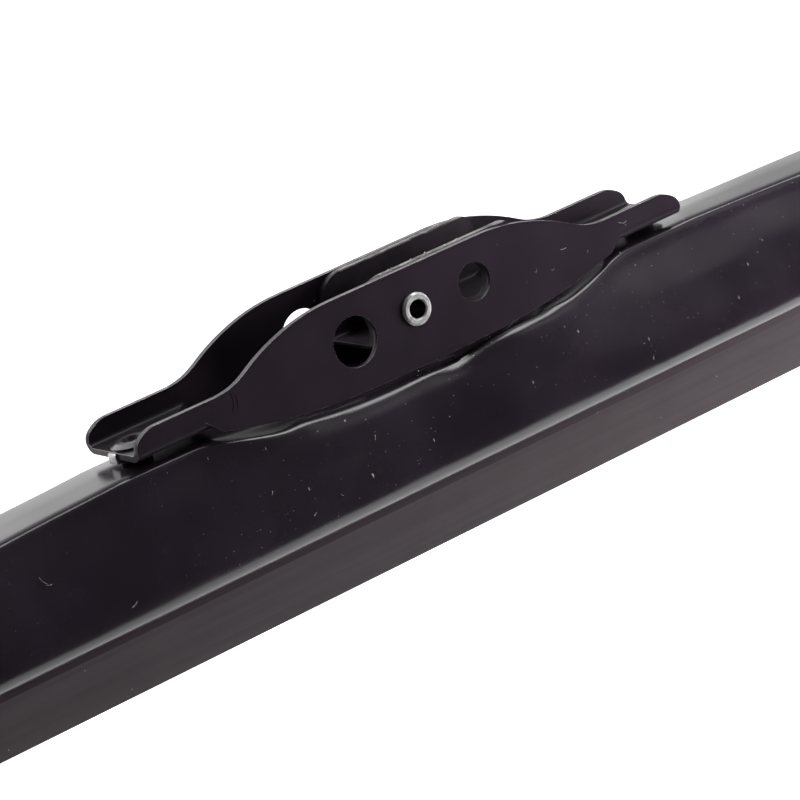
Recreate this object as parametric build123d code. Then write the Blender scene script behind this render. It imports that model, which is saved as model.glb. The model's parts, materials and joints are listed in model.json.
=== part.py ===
from build123d import *
import math
import os

# Winter wiper blade: rubber-booted lever frame with a saddle for the arm.
# Origin: axis of the hollow centre pin, mid-width. +X along the blade, +Z away from the glass.

# Blade length
squeegee_length = 560.0
boot_length = 552.0
rail_length = 544.0

# Saddle that takes the arm
saddle_width = 12.6
saddle_sheet = 0.8
saddle_half_length = 43.6
saddle_top = 5.6
saddle_tail_top = 0.35
saddle_tail_bottom = -3.35
saddle_skirt_bottom = -7.3
saddle_tail_length = 12.3
saddle_plateau_half = 11.5
saddle_bend_radius = 1.5
saddle_corner_radius = 2.2
saddle_step_height = 0.75
saddle_step_length = 0.8
saddle_skirt_power = 2.9
saddle_arch_run = 6.2
saddle_arch_fall = 0.62
saddle_foot_run = 5.8
saddle_shoulder_gap = 0.3
tab_width = 1.8
tab_drop = 0.65
tab_overhang = 0.3

# Holes in the saddle
large_hole_radius = 3.3
large_hole_x = -9.86
large_hole_z = -0.6
small_hole_radius = 2.52
small_hole_x = 9.45
small_hole_z = 0.1

# Hollow centre pin
pin_radius = 1.75
pin_bore_radius = 1.2
pin_flange_radius = 2.15
pin_flange_height = 0.45

# Rivets that hold the saddle through the boot
saddle_rivet_x = 40.6
rivet_head_radius = 2.9
rivet_head_height = 0.65
rivet_ring_radius = 2.1
rivet_rim_height = 0.3
rivet_dimple_radius = 1.3
rivet_dimple_depth = 0.5
rivet_shank_radius = 1.6
rivet_foot_radius = 2.6
rivet_foot_height = 0.8
spacer_radius = 2.0

# Clearances
running_fit = 0.05
body_gap = 0.3
hole_slack = 0.04
seat_slack = 0.1

# Adapter for the arm
adapter_wall = 1.0
adapter_left = -6.9
adapter_right = 18.2
adapter_top = 5.6
adapter_bottom = -3.5
adapter_rise_x = 12.5
adapter_right_bottom = -1.9
adapter_left_radius = 4.0
adapter_right_radius = 1.8
adapter_low_radius = 1.2
adapter_floor_thickness = 1.0
adapter_boss_radius = 3.0
adapter_relief_gap = 0.3
adapter_hole_slack = 0.2

# Rubber boot
boot_wall = 1.1
boot_top_centre = -4.45
boot_bottom = -22.7
boot_neck_half = 5.2
boot_belly_half = 9.0
boot_belly_z = -17.4
boot_lip_half = 2.5
boot_end_wall = 1.1
boot_slot_gap = 0.25
boot_level_half = 46.0
boot_dip = 1.55
boot_end_room = 1.6
boot_ledge_gap = 0.6
boot_ledge_width = 1.5
boot_even_fall = 0.88
boot_end_power = 8
boot_end_half = 7.8
boot_spread_start = 56.0
boot_spread_end = 104.0

# Squeegee profile
squeegee_top = -18.3
head_half = 3.0
head_height = 1.2
rail_thickness = 0.8
groove_half = 1.3
lower_flange_half = 2.4
lower_flange_height = 1.1
neck_half = 1.6
shoulder_half = 3.4
shoulder_top = -22.85
shoulder_height = 1.45
wiping_edge = -32.4
tip_half = 0.35

# Spring rails in the squeegee grooves
rail_outer = 4.2

# Primary bridge
bridge_end_overhang = 6.0
bridge_sheet = 1.2
bridge_half_width = 4.0
bridge_depth = 5.6
bridge_flare_share = 0.19

# Secondary levers
lever_end_overhang = 7.0
lever_sheet = 1.0
lever_arch = 1.3
pivot_edge = 2.0
inner_bend = 0.3

# Yokes with their claws
yoke_half_spacing = 70.0
yoke_half_span = 39.0
yoke_tip_room = 27.0
yoke_sheet = 0.9
yoke_half_width = 2.9
yoke_top = -14.9
claw_length = 8.0
claw_tuck = 1.1
claw_roof_rise = 0.15

# Plastic bushes and pivot pins
bush_wall = 0.5
bush_length = 9.0
bush_edge_radius = 0.2
lever_bush_drop = 1.9
yoke_bush_drop = 0.95
lever_pin_radius = 1.5
yoke_pin_radius = 0.9
pin_head_height = 0.35
pin_head_overlap = 0.8

# Sizes that follow from those above
saddle_half = saddle_width / 2
saddle_inner_half = saddle_half - saddle_sheet
tail_floor_top = saddle_tail_bottom + saddle_sheet
tail_start = saddle_half_length - saddle_tail_length
lever_spacing = boot_length / 2 - yoke_tip_room - yoke_half_span - yoke_half_spacing
lever_half_span = yoke_half_spacing + lever_end_overhang
bridge_half_length = lever_spacing + bridge_end_overhang
adapter_half = saddle_inner_half - body_gap
adapter_inner_half = adapter_half - adapter_wall
bridge_top = boot_top_centre - boot_wall - seat_slack
lever_half_width = yoke_half_width + bush_wall + running_fit + lever_sheet
bridge_end_half_width = lever_half_width + bush_wall + running_fit + bridge_sheet
lever_end_top = yoke_top + bush_wall + lever_sheet + seat_slack
bridge_end_top = lever_end_top + lever_arch + bridge_sheet + bush_wall + seat_slack
lever_mid_top = bridge_end_top - bridge_sheet - bush_wall - seat_slack
lever_pin_z = lever_mid_top - lever_sheet - lever_pin_radius - 0.4
yoke_pin_z = yoke_top - yoke_sheet - yoke_pin_radius - seat_slack / 2
yoke_low = squeegee_top + seat_slack
rail_top = squeegee_top - head_height
rail_bottom = rail_top - rail_thickness

os.makedirs("parts", exist_ok=True)


def save(solid, name):
    """Write one solid as its own STEP file."""
    solid.label = name
    export_step(solid, f"parts/{name}.step")


def side_face(edges):
    """Face in the XZ plane from a closed chain of edges."""
    return Face(Wire(edges))


def across(face, half_width):
    """Extrude a side face to the same distance on both sides of the middle plane."""
    return extrude(face, amount=half_width, dir=(0, 1, 0), both=True)


def cross_hole(x, z, radius, half_length=2 * boot_belly_half):
    """Round cutter across the blade."""
    return Location((x, 0, z), (90, 0, 0)) * Cylinder(radius, 2 * half_length)


# Saddle bracket

def skirt_edge(reach):
    """Height of the skirt's lower edge at a distance from the pin."""
    rise = saddle_tail_bottom - saddle_step_height - saddle_skirt_bottom
    return saddle_skirt_bottom + rise * min(1.0, reach / tail_start) ** saddle_skirt_power


def saddle_outline():
    """Side outline of a saddle wall: low tails, arched middle and deep skirt."""
    def up(x, z):
        return Vector(x, 0, z)

    shoulder_x = tail_start - saddle_shoulder_gap
    step_x = tail_start + saddle_step_length
    step_z = saddle_tail_bottom - saddle_step_height
    end = saddle_half_length
    radius = saddle_corner_radius
    slope = (saddle_top - saddle_tail_top) / (shoulder_x - saddle_plateau_half)
    low_arch_x = shoulder_x - saddle_foot_run
    low_arch_z = saddle_top - slope * 2 * saddle_arch_run
    edges = []
    for side in (-1, 1):
        arch = Spline(
            up(side * saddle_plateau_half, saddle_top),
            up(side * (saddle_plateau_half + saddle_arch_run), saddle_top - saddle_arch_fall),
            up(side * low_arch_x, low_arch_z),
            up(side * shoulder_x, saddle_tail_top),
            tangents=[(side, 0, 0), (side, 0, -0.05)],
        )
        tail = Line(up(side * shoulder_x, saddle_tail_top), up(side * (end - radius * 1.6), saddle_tail_top))
        nose = Spline(
            up(side * (end - radius * 1.6), saddle_tail_top),
            up(side * (end - radius * 0.45), saddle_tail_top - radius * 0.36),
            up(side * end, saddle_tail_top - radius * 1.15),
            tangents=[(side, 0, 0), (0, 0, -1)],
        )
        heel = Line(up(side * end, saddle_tail_top - radius * 1.15), up(side * end, saddle_tail_bottom))
        sole = Line(up(side * end, saddle_tail_bottom), up(side * step_x, saddle_tail_bottom))
        step = Line(up(side * step_x, saddle_tail_bottom), up(side * tail_start, step_z))
        skirt = Spline(
            up(side * tail_start, step_z),
            up(side * tail_start * 0.65, skirt_edge(tail_start * 0.65)),
            up(side * tail_start * 0.33, skirt_edge(tail_start * 0.33)),
            up(0, skirt_edge(0)),
            tangents=[(-side, 0, -0.28), (-side, 0, 0)],
        )
        edges += [arch, tail, nose, heel, sole, step, skirt]
    edges.append(Line(up(-saddle_plateau_half, saddle_top), up(saddle_plateau_half, saddle_top)))
    return side_face(edges)


def make_saddle():
    """Stamped channel: two walls joined by a floor in each tail only."""
    saddle = across(saddle_outline(), saddle_half)
    long_floor_edges = [
        edge for edge in saddle.edges().filter_by(Axis.X)
        if abs(edge.center().Z - saddle_tail_bottom) < 0.01
    ]
    saddle = fillet(long_floor_edges, saddle_bend_radius)
    tall = 2 * (saddle_top - saddle_skirt_bottom)
    tail_room = Pos(0, 0, tail_floor_top + tall / 2) * Box(
        3 * saddle_half_length, 2 * saddle_inner_half, tall)
    low_edges = [
        edge for edge in tail_room.edges().filter_by(Axis.X)
        if edge.center().Z < tail_floor_top + 0.01
    ]
    tail_room = fillet(low_edges, saddle_bend_radius - saddle_sheet)
    open_middle = Box(2 * tail_start, 2 * saddle_inner_half, 2 * tall)
    rounded_ends = [
        edge for edge in open_middle.edges().filter_by(Axis.Z)
    ]
    open_middle = fillet(rounded_ends, saddle_inner_half * 0.45)
    saddle = saddle - tail_room - open_middle
    saddle -= cross_hole(large_hole_x, large_hole_z, large_hole_radius, saddle_width)
    saddle -= cross_hole(small_hole_x, small_hole_z, small_hole_radius, saddle_width)
    saddle -= cross_hole(0, 0, pin_radius + hole_slack, saddle_width)
    for side in (-1, 1):
        saddle -= Pos(side * saddle_rivet_x, 0, tail_floor_top) * Cylinder(
            rivet_shank_radius + hole_slack, 4 * saddle_sheet)
        saddle += make_tail_tab(side)
    return saddle


def make_tail_tab(side):
    """Tab left by the press tool in the middle of a tail's end, bent down over the edge."""
    length = saddle_sheet + tab_overhang
    height = saddle_sheet + tab_drop
    tab = Pos(side * (saddle_half_length + tab_overhang - length / 2), 0, tail_floor_top - height / 2) * Box(
        length, tab_width, height)
    bend = [
        edge for edge in tab.edges().filter_by(Axis.Y)
        if edge.center().Z > tail_floor_top - 0.01 and abs(edge.center().X) > saddle_half_length
    ]
    return fillet(bend, saddle_sheet * 0.6)


def make_centre_pin():
    """Hollow pin through both walls, with a rolled lip at each end."""
    lip = pin_flange_height
    reach = saddle_half + lip
    with BuildSketch(Plane.XZ) as section:
        with BuildLine():
            Polyline(
                (pin_bore_radius, 0), (pin_bore_radius, reach - lip * 0.4),
                (pin_bore_radius + lip * 0.5, reach), (pin_flange_radius - lip * 0.6, reach),
                (pin_flange_radius, reach - lip * 0.5), (pin_flange_radius, saddle_half),
                (pin_radius, saddle_half), (pin_radius, 0), close=True)
        make_face()
    half = revolve(section.sketch, Axis.Z, 360)
    half = Rot(X=-90) * half
    return half + mirror(half, Plane.XZ)


def make_saddle_rivet(x):
    """Rivet through the tail floor, the boot and the bridge, with a clinched foot."""
    foot_seat = bridge_top - bridge_sheet
    with BuildSketch(Plane.XZ) as section:
        with BuildLine():
            Polyline(
                (0, foot_seat - rivet_foot_height),
                (rivet_foot_radius * 0.6, foot_seat - rivet_foot_height),
                (rivet_foot_radius, foot_seat - rivet_foot_height * 0.5),
                (rivet_foot_radius, foot_seat), (rivet_shank_radius, foot_seat),
                (rivet_shank_radius, tail_floor_top), (rivet_head_radius, tail_floor_top),
                (rivet_head_radius, tail_floor_top + rivet_rim_height),
                (rivet_ring_radius, tail_floor_top + rivet_head_height),
                (rivet_dimple_radius, tail_floor_top + rivet_head_height),
                (rivet_dimple_radius - 0.3, tail_floor_top + rivet_head_height - rivet_dimple_depth),
                (0, tail_floor_top + rivet_head_height - rivet_dimple_depth), close=True)
        make_face()
    return Pos(x, 0, 0) * revolve(section.sketch, Axis.Z, 360)


def make_spacer(x):
    """Steel sleeve that carries the tail floor on the bridge through the boot."""
    height = saddle_tail_bottom - bridge_top
    sleeve = Cylinder(spacer_radius, height) - Cylinder(rivet_shank_radius + hole_slack, 2 * height)
    return Pos(x, 0, bridge_top + height / 2) * sleeve


# Adapter for the arm

def make_adapter():
    """Two cheeks joined by a floor and by the boss that turns on the centre pin."""
    adapter_corners = [
        (adapter_left, adapter_top, adapter_left_radius),
        (adapter_right, adapter_top, adapter_right_radius),
        (adapter_left, adapter_bottom, adapter_low_radius),
        (adapter_right, adapter_right_bottom, adapter_low_radius),
    ]
    with BuildSketch(Plane.XZ) as outline:
        with BuildLine():
            Polyline(
                (adapter_left, adapter_top), (adapter_left, adapter_bottom),
                (adapter_rise_x, adapter_bottom), (adapter_right, adapter_right_bottom),
                (adapter_right, adapter_top), close=True)
        make_face()
        for x, z, radius in adapter_corners:
            fillet(outline.vertices().sort_by_distance((x, z, 0))[0], radius)
    body = extrude(outline.sketch, amount=adapter_half, both=True)
    room = Pos(0, 0, adapter_bottom + adapter_floor_thickness + adapter_top) * Box(
        3 * adapter_right, 2 * adapter_inner_half, 2 * adapter_top)
    low_edges = [
        edge for edge in room.edges().filter_by(Axis.X)
        if edge.center().Z < adapter_bottom + adapter_floor_thickness + 0.01
    ]
    room = fillet(low_edges, 0.6)
    body -= room
    body += cross_hole(0, 0, adapter_boss_radius, adapter_half)
    body -= cross_hole(0, 0, pin_radius + running_fit, saddle_width)
    body -= cross_hole(small_hole_x, small_hole_z, small_hole_radius + adapter_hole_slack, saddle_width)
    body -= cross_hole(large_hole_x, large_hole_z, large_hole_radius + adapter_relief_gap, saddle_width)
    return body


# Rubber boot

def ease(value, start, end):
    """Smooth step from 0 at start to 1 at end."""
    t = min(1.0, max(0.0, (value - start) / (end - start)))
    return t * t * (3 - 2 * t)


def boot_top(reach):
    """Height of the boot's crown: dipped under the adapter, falling to the ends."""
    run = max(0.0, reach - boot_level_half) / (boot_length / 2 - boot_level_half)
    end_top = squeegee_top + boot_wall + boot_end_room
    dip = boot_dip * (1 - ease(reach, 0.7 * tail_start, 1.1 * tail_start))
    fall = boot_even_fall * run + (1 - boot_even_fall) * run ** boot_end_power
    return boot_top_centre - dip + (end_top - boot_top_centre) * fall


def boot_half_points(x, inset):
    """Half outline of the boot from crown to lip, moved inwards by the inset."""
    reach = abs(x)
    spread = ease(reach, boot_spread_start, boot_spread_end)
    necked = 1 - ease(reach, 0.7 * tail_start, 1.15 * tail_start)
    crown = boot_top(reach) - inset
    half = boot_neck_half + (boot_end_half - boot_neck_half) * spread - inset
    belly = boot_belly_half + 0.4 * spread - inset
    bottom = boot_bottom + inset
    waist = min(boot_belly_z, 0.5 * (crown - 2.5 + bottom))
    ledge = min(skirt_edge(reach) - boot_ledge_gap - 0.55 * inset, crown - 1.0)
    shoulder = half + boot_ledge_width
    side_drop = 2.0
    side_share = (side_drop - 0.9) / (crown - 0.9 - waist)
    neck = [
        (half * 0.55, crown + 0.03), (half - 0.95, crown - 0.12), (half - 0.15, crown - 0.6),
        (half, 0.5 * (crown - 0.6 + ledge)), (half + 0.12, ledge + 0.12), (shoulder, ledge - 0.4),
        (shoulder + 0.5, ledge - 1.6),
    ]
    plain = [
        (half * 0.4, crown + 0.05), (half * 0.62, crown), (half * 0.8, crown - 0.06),
        (half - 0.55, crown - 0.14), (half - 0.25, crown - 0.3), (half + 0.05, crown - 0.65),
        (half + (belly - half) * side_share ** 0.9, crown - side_drop),
    ]
    points = [(0.0, crown + 0.1)]
    for (neck_y, neck_z), (plain_y, plain_z) in zip(neck, plain):
        points.append((plain_y + necked * (neck_y - plain_y), plain_z + necked * (neck_z - plain_z)))
    last_y, last_z = points[-1]
    points.append((last_y + 0.6 * (belly - last_y), 0.5 * (last_z + waist)))
    points.append((belly, waist))
    points.append((belly - 0.35, waist - 0.45 * (waist - bottom)))
    points.append((belly - 1.5, waist - 0.8 * (waist - bottom)))
    points.append((belly - 3.6, bottom))
    points.append((boot_lip_half, bottom + 0.15))
    return points


def closed_half(points):
    """Full outline from one lip over the crown to the other."""
    return [(-y, z) for y, z in reversed(points)] + points[1:]


def shared_spacing(inset):
    """One set of curve parameters for all stations, so that the loft stays light."""
    stations = (0.0, 0.6 * tail_start, tail_start, 2 * tail_start, lever_spacing)
    runs = [0.0]
    outlines = [closed_half(boot_half_points(x, inset)) for x in stations]
    for index in range(1, len(outlines[0])):
        steps = [math.sqrt(math.dist(outline[index - 1], outline[index])) for outline in outlines]
        runs.append(runs[-1] + sum(steps) / len(steps))
    return [run / runs[-1] for run in runs]


def boot_face(x, inset):
    """Section of the boot at one station, with a straight underside."""
    shares = shared_spacing(inset)
    points = [Vector(x, y, z) for y, z in closed_half(boot_half_points(x, inset))]
    return Face(Wire([Edge.make_spline(points, parameters=shares), Line(points[-1], points[0])]))


def boot_stations(end):
    """Stations along the boot, closest together where the saddle sits."""
    near = [share * tail_start for share in (0.0, 0.35, 0.64, 0.86, 1.05, 1.25)]
    run = end - boot_level_half
    far = [boot_level_half + share * run for share in (0.0, 0.06, 0.15, 0.26, 0.4, 0.56, 0.71, 0.86, 1.0)]
    half = near + far
    return [-x for x in reversed(half[1:])] + half


def squeegee_outline():
    """Closed outline of the squeegee: grooved head, neck, shoulder and tapered lip."""
    flange_bottom = rail_bottom - lower_flange_height
    half = [
        (head_half, squeegee_top), (head_half, rail_top), (groove_half, rail_top),
        (groove_half, rail_bottom), (lower_flange_half, rail_bottom),
        (lower_flange_half, flange_bottom), (neck_half, flange_bottom), (neck_half, shoulder_top),
        (shoulder_half, shoulder_top), (shoulder_half, shoulder_top - shoulder_height),
        (tip_half, wiping_edge),
    ]
    return half + [(-y, z) for y, z in reversed(half)]


def make_boot():
    """Loft the boot, hollow it with an inner loft and slit it along the underside."""
    end = boot_length / 2
    boot = loft([boot_face(x, 0) for x in boot_stations(end)])
    boot -= loft([boot_face(x, boot_wall) for x in boot_stations(end - boot_end_wall)])
    boot -= Pos(0, 0, boot_bottom) * Box(2 * boot_length, 2 * boot_lip_half, 3 * boot_wall)
    head_room = squeegee_top + boot_slot_gap - boot_bottom
    for side in (-1, 1):
        boot -= Pos(side * end, 0, boot_bottom + head_room / 2) * Box(
            4 * boot_end_wall, 2 * (rail_outer + boot_slot_gap), head_room)
        boot -= Pos(side * saddle_rivet_x, 0, boot_top_centre) * Cylinder(spacer_radius, 6 * boot_wall)
    return boot


# Squeegee and rails

def make_squeegee():
    """Extruded rubber profile with a grooved head, a neck and a tapered lip."""
    with BuildSketch(Plane.YZ) as profile:
        with BuildLine():
            Polyline(*squeegee_outline(), close=True)
        make_face()
    return extrude(profile.sketch, amount=squeegee_length / 2, both=True)


def make_rail(side):
    """Flat spring strip in one groove of the squeegee, with rounded outer corners."""
    width = rail_outer - groove_half - hole_slack
    middle = side * (rail_outer - width / 2)
    rail = Pos(0, middle, (rail_top + rail_bottom) / 2) * Box(rail_length, width, rail_thickness)
    outer_corners = [
        edge for edge in rail.edges().filter_by(Axis.Z) if abs(edge.center().Y) > rail_outer - 0.01
    ]
    return fillet(outer_corners, 0.8)


# Pressed levers

def channel_face(x, half_width, top, low, sheet):
    """Section of an inverted channel with rounded bends."""
    bend = sheet + inner_bend
    diagonal = 1 - math.sqrt(0.5)

    def run(side, edge, roof, radius):
        """Outline of one side from its lower edge up and round the bend."""
        foot = Vector(x, side * edge, low)
        start = Vector(x, side * edge, roof - radius)
        middle = Vector(x, side * (edge - radius * diagonal), roof - radius * diagonal)
        end = Vector(x, side * (edge - radius), roof)
        return [Line(foot, start), ThreePointArc(start, middle, end)], foot, end

    outer_left, left_foot, left_top = run(-1, half_width, top, bend)
    outer_right, right_foot, right_top = run(1, half_width, top, bend)
    inner_left, left_in, left_roof = run(-1, half_width - sheet, top - sheet, inner_bend)
    inner_right, right_in, right_roof = run(1, half_width - sheet, top - sheet, inner_bend)
    edges = outer_left + [Line(left_top, right_top)] + outer_right
    edges += [Line(right_foot, right_in)] + inner_right + [Line(right_roof, left_roof)]
    edges += inner_left + [Line(left_in, left_foot)]
    return Face(Wire(edges))


def channel(stations, sheet):
    """Loft a channel, equal on both sides of its middle, from half its stations."""
    half = [(x, width, top, low) for x, width, top, low in stations]
    both = [(-x, width, top, low) for x, width, top, low in reversed(half) if x > 0] + half
    return loft([channel_face(*station, sheet) for station in both], ruled=True)


def make_bridge():
    """Primary bridge: narrow under the saddle, flared over the levers at its ends."""
    def roof(x):
        return max(boot_top(x) - boot_wall - seat_slack, bridge_end_top)

    low_middle = bridge_top - bridge_depth
    low_end = lever_pin_z - pivot_edge
    flare_start = boot_level_half + bridge_flare_share * (lever_spacing - boot_level_half)
    pivot_start = lever_spacing - 2 * bridge_end_overhang
    flare_end = 0.5 * (flare_start + pivot_start)
    stations = [
        (0, bridge_half_width, bridge_top - boot_dip, low_middle),
        (0.83 * tail_start, bridge_half_width, bridge_top - boot_dip, low_middle),
        (1.15 * tail_start, bridge_half_width, bridge_top, low_middle),
        (boot_level_half, bridge_half_width, bridge_top, low_middle),
        (flare_start, bridge_half_width, roof(flare_start), low_middle - 0.5),
        (flare_end, bridge_end_half_width, roof(flare_end), low_middle - 0.5),
        (pivot_start, bridge_end_half_width, bridge_end_top, low_end),
        (bridge_half_length, bridge_end_half_width, bridge_end_top, low_end),
    ]
    bridge = channel(stations, bridge_sheet)
    for side in (-1, 1):
        bridge -= cross_hole(side * lever_spacing, lever_pin_z, lever_pin_radius + hole_slack)
        bridge -= Pos(side * saddle_rivet_x, 0, bridge_top) * Cylinder(
            rivet_shank_radius + hole_slack, 4 * bridge_sheet)
    return bridge


def make_lever(side):
    """Secondary lever between the bridge's end and its two yokes."""
    middle = 0.5 * yoke_half_spacing
    stations = [
        (0, lever_half_width, lever_mid_top, lever_pin_z - pivot_edge),
        (0.25 * yoke_half_spacing, lever_half_width, lever_mid_top - 0.15, lever_pin_z - pivot_edge),
        (middle, lever_half_width, 0.6 * lever_mid_top + 0.4 * lever_end_top, lever_pin_z - pivot_edge),
        (0.8 * yoke_half_spacing, lever_half_width, lever_end_top + 0.1, yoke_pin_z - 0.6 * pivot_edge),
        (yoke_half_spacing, lever_half_width, lever_end_top, yoke_pin_z - 0.7 * pivot_edge),
        (lever_half_span, lever_half_width, lever_end_top, yoke_pin_z - 0.7 * pivot_edge),
    ]
    lever = channel(stations, lever_sheet)
    lever -= cross_hole(0, lever_pin_z, lever_pin_radius + hole_slack)
    for end in (-1, 1):
        lever -= cross_hole(end * yoke_half_spacing, yoke_pin_z, yoke_pin_radius + hole_slack)
    return Pos(side * lever_spacing, 0, 0) * lever


def make_claw():
    """Finger pair that reaches round both rails, in place at one end of a yoke."""
    inner = rail_outer + seat_slack
    outer = inner + yoke_sheet
    roof = yoke_low + claw_roof_rise
    foot_top = rail_bottom - hole_slack
    foot_bottom = foot_top - yoke_sheet
    lip = inner - claw_tuck
    half = [
        (outer, roof + yoke_sheet), (outer, foot_bottom), (lip, foot_bottom), (lip, foot_top),
        (inner, foot_top), (inner, roof),
    ]
    with BuildSketch(Plane.YZ) as profile:
        with BuildLine():
            Polyline(*half, *[(-y, z) for y, z in reversed(half)], close=True)
        make_face()
        fillet([vertex for vertex in profile.vertices() if abs(vertex.X) > outer - 0.01], inner_bend * 1.5)
    return extrude(profile.sketch, amount=claw_length / 2, both=True)


def make_yoke(x):
    """Small channel on its pivot with a pair of claws at each end."""
    half = yoke_half_span
    end_top = yoke_low + claw_roof_rise + yoke_sheet + 0.4
    stations = [
        (0, yoke_half_width, yoke_top, yoke_low),
        (bush_length, yoke_half_width, yoke_top, yoke_low),
        (0.7 * half, yoke_half_width, 0.4 * yoke_top + 0.6 * end_top, yoke_low),
        (half - 0.5, yoke_half_width, end_top, yoke_low),
    ]
    yoke = channel(stations, yoke_sheet)
    for end in (-1, 1):
        yoke += Pos(end * (half - claw_length / 2), 0, 0) * make_claw()
    yoke -= cross_hole(0, yoke_pin_z, yoke_pin_radius + hole_slack)
    return Pos(x, 0, 0) * yoke


# Pivots

def make_bush(x, top, inner_half, pin_z, pin_radius, drop):
    """Plastic saddle that keeps two pressed levers apart at a pivot."""
    outer_half = inner_half + bush_wall
    roof = top + bush_wall
    bush = Pos(0, 0, (roof + pin_z - drop) / 2) * Box(bush_length, 2 * outer_half, roof - pin_z + drop)
    bush -= Pos(0, 0, (top + pin_z - drop) / 2 - 1) * Box(
        2 * bush_length, 2 * inner_half, top - pin_z + drop + 2)
    bush = fillet(bush.edges().group_by(Axis.Z)[-1], bush_edge_radius)
    bush -= cross_hole(0, pin_z, pin_radius + hole_slack)
    return Pos(x, 0, 0) * bush


def make_pivot(x, z, radius, half_width):
    """Rivet across a pivot with a low head on each side."""
    shank = Cylinder(radius, 2 * half_width)
    head = Cylinder(radius + pin_head_overlap, pin_head_height)
    head = fillet(head.edges().group_by(Axis.Z)[-1], pin_head_height * 0.6)
    pivot = shank + Pos(0, 0, half_width + pin_head_height / 2) * head
    pivot += Pos(0, 0, -half_width - pin_head_height / 2) * Rot(X=180) * head
    return Location((x, 0, z), (90, 0, 0)) * pivot


# Write every piece

save(make_saddle(), "saddle_bracket")
save(make_centre_pin(), "centre_pin")
save(make_adapter(), "arm_adapter")
save(make_boot(), "rubber_boot")
save(make_squeegee(), "squeegee")
save(make_bridge(), "primary_bridge")

for side, word in ((-1, "left"), (1, "right")):
    save(make_saddle_rivet(side * saddle_rivet_x), f"saddle_rivet_{word}")
    save(make_spacer(side * saddle_rivet_x), f"saddle_spacer_{word}")
    save(make_lever(side), f"secondary_lever_{word}")
    x = side * lever_spacing
    lever_bush = make_bush(x, lever_mid_top, lever_half_width, lever_pin_z, lever_pin_radius, lever_bush_drop)
    save(lever_bush, f"lever_bush_{word}")
    save(make_pivot(x, lever_pin_z, lever_pin_radius, bridge_end_half_width), f"lever_pivot_{word}")

for side, word in ((-1, "front"), (1, "back")):
    save(make_rail(side), f"spring_rail_{word}")

yoke_places = [
    sign * (lever_spacing + step * yoke_half_spacing) for sign, step in ((-1, 1), (-1, -1), (1, -1), (1, 1))
]
for number, x in enumerate(yoke_places, start=1):
    save(make_yoke(x), f"yoke_{number}")
    yoke_bush = make_bush(x, yoke_top, yoke_half_width, yoke_pin_z, yoke_pin_radius, yoke_bush_drop)
    save(yoke_bush, f"yoke_bush_{number}")
    save(make_pivot(x, yoke_pin_z, yoke_pin_radius, lever_half_width), f"yoke_pivot_{number}")
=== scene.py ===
import json
import math

import bmesh
import bpy
from bpy.props import FloatProperty, FloatVectorProperty, IntProperty, PointerProperty
from mathutils import Matrix, Vector, noise


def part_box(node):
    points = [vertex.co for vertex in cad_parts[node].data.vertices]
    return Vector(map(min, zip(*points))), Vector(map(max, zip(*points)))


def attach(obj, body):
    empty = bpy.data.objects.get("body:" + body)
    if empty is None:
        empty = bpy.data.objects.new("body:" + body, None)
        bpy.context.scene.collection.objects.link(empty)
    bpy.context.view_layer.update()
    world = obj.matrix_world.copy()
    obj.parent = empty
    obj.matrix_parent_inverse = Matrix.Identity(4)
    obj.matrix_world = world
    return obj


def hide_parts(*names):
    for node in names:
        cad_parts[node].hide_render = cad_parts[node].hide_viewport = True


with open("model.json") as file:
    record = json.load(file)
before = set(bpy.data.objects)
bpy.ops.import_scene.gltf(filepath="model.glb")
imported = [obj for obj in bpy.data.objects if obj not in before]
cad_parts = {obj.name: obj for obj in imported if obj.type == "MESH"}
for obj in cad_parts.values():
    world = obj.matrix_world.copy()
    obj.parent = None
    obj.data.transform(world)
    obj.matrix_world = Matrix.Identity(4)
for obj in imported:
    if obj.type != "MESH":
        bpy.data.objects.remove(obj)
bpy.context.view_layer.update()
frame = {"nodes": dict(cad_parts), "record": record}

bl_info = {
    "name": "Winter wiper blade",
    "version": (1, 0, 0),
    "blender": (4, 5, 0),
    "location": "3D View > Sidebar > Wiper blade",
    "description": "Finishes the rubber-booted wiper blade and its studio",
    "category": "Object",
}

MM = 0.001

# Bodies that pieces ride on
BLADE = "blade"
ADAPTER = "adapter"

# Levels, ends and half-widths of four nodes in millimetres, as the frame has them
boot_low, boot_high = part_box("rubber_boot")
saddle_low, saddle_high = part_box("saddle_bracket")
squeegee_low, squeegee_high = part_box("squeegee")
adapter_low, adapter_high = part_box("arm_adapter")
BOOT_HALF_LENGTH = boot_high[0] / MM
BOOT_BOTTOM = boot_low[2] / MM
SADDLE_END = saddle_high[0] / MM
SADDLE_HALF_WIDTH = saddle_high[1] / MM
SADDLE_SKIRT = saddle_low[2] / MM
SQUEEGEE_TOP = squeegee_high[2] / MM
ADAPTER_TOP = adapter_high[2] / MM
ADAPTER_HALF = adapter_high[1] / MM

# Sizes that this script shares with the part's source, in millimetres
BOOT_WALL = 1.1
BOOT_TOP = -4.45
BOOT_NECK_HALF = 5.2
BOOT_END_HALF = 7.8
BOOT_SPREAD_START = 56.0
BOOT_SPREAD_END = 104.0
BOOT_BELLY_HALF = 9.0
BOOT_BELLY_Z = -17.4
BOOT_LIP_HALF = 2.5
BOOT_LEVEL_HALF = 46.0
BOOT_DIP = 1.55
BOOT_END_ROOM = 1.6
BOOT_LEDGE_GAP = 0.6
BOOT_LEDGE_WIDTH = 1.5
BOOT_SLOT_GAP = 0.25
BOOT_EVEN_FALL = 0.88
BOOT_END_POWER = 8
RAIL_OUTER = 4.2
TAIL_BOTTOM = -3.35
TAIL_START = 31.3
STEP_HEIGHT = 0.75
SKIRT_POWER = 2.9
SADDLE_SHEET = 0.8
TAB_HALF = 0.9
PIN_BORE = 1.22
CHEEK_WALL = 1.0

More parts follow.
